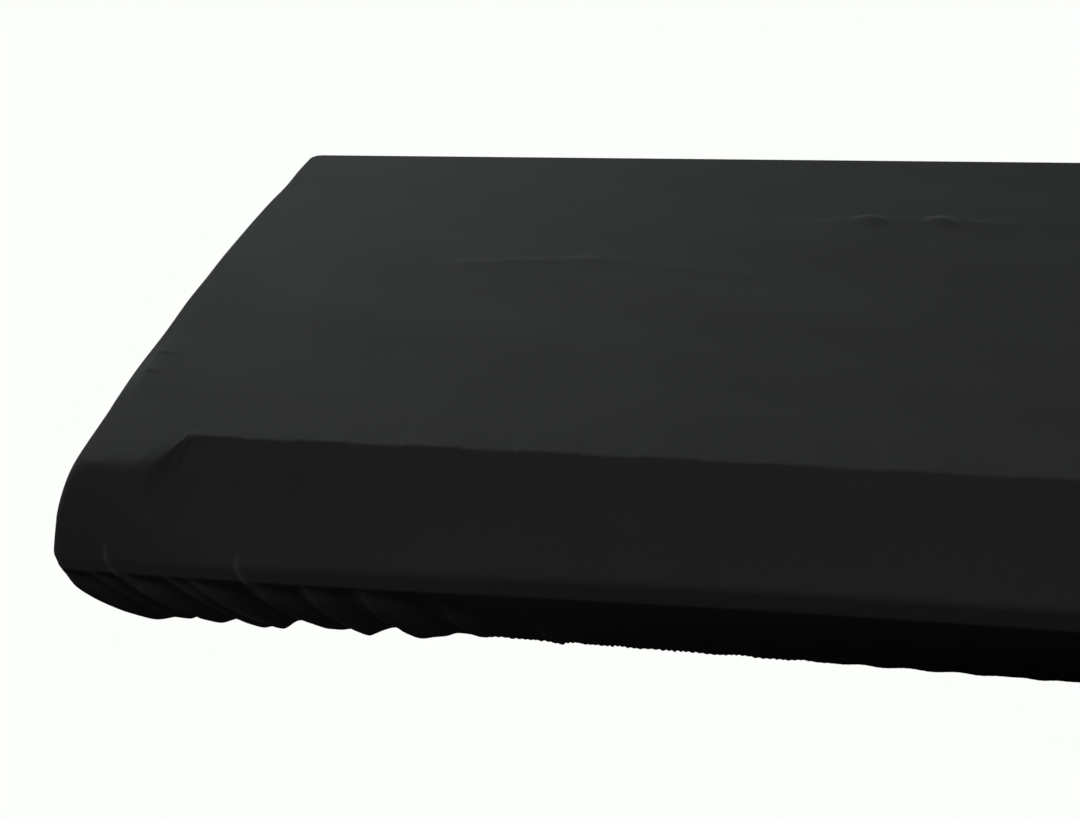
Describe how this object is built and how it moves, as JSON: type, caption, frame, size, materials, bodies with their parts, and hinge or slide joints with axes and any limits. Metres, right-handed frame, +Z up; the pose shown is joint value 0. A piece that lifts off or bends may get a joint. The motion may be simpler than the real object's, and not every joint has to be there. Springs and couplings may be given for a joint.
{
  "type": "keyboard dust cover",
  "caption": "Fitted dust cover of plain black stretch cloth for a full-size music keyboard, with a sloping top, a leaning front, and a gathered hem drawn in underneath.",
  "frame": {"origin": "under the cloth of the top, at mid length and 126 mm behind the front crease, where the keyboard holds the cover up", "axes": "+X along the keyboard to its player's right, +Y from its front to its back, +Z up"},
  "size_m": [1.3307, 0.3256, 0.119],
  "materials": {
    "black_cloth": "matt stretch knit"
  },
  "bodies": {
    "root": {"cover": "black_cloth"}
  },
  "joints": []
}
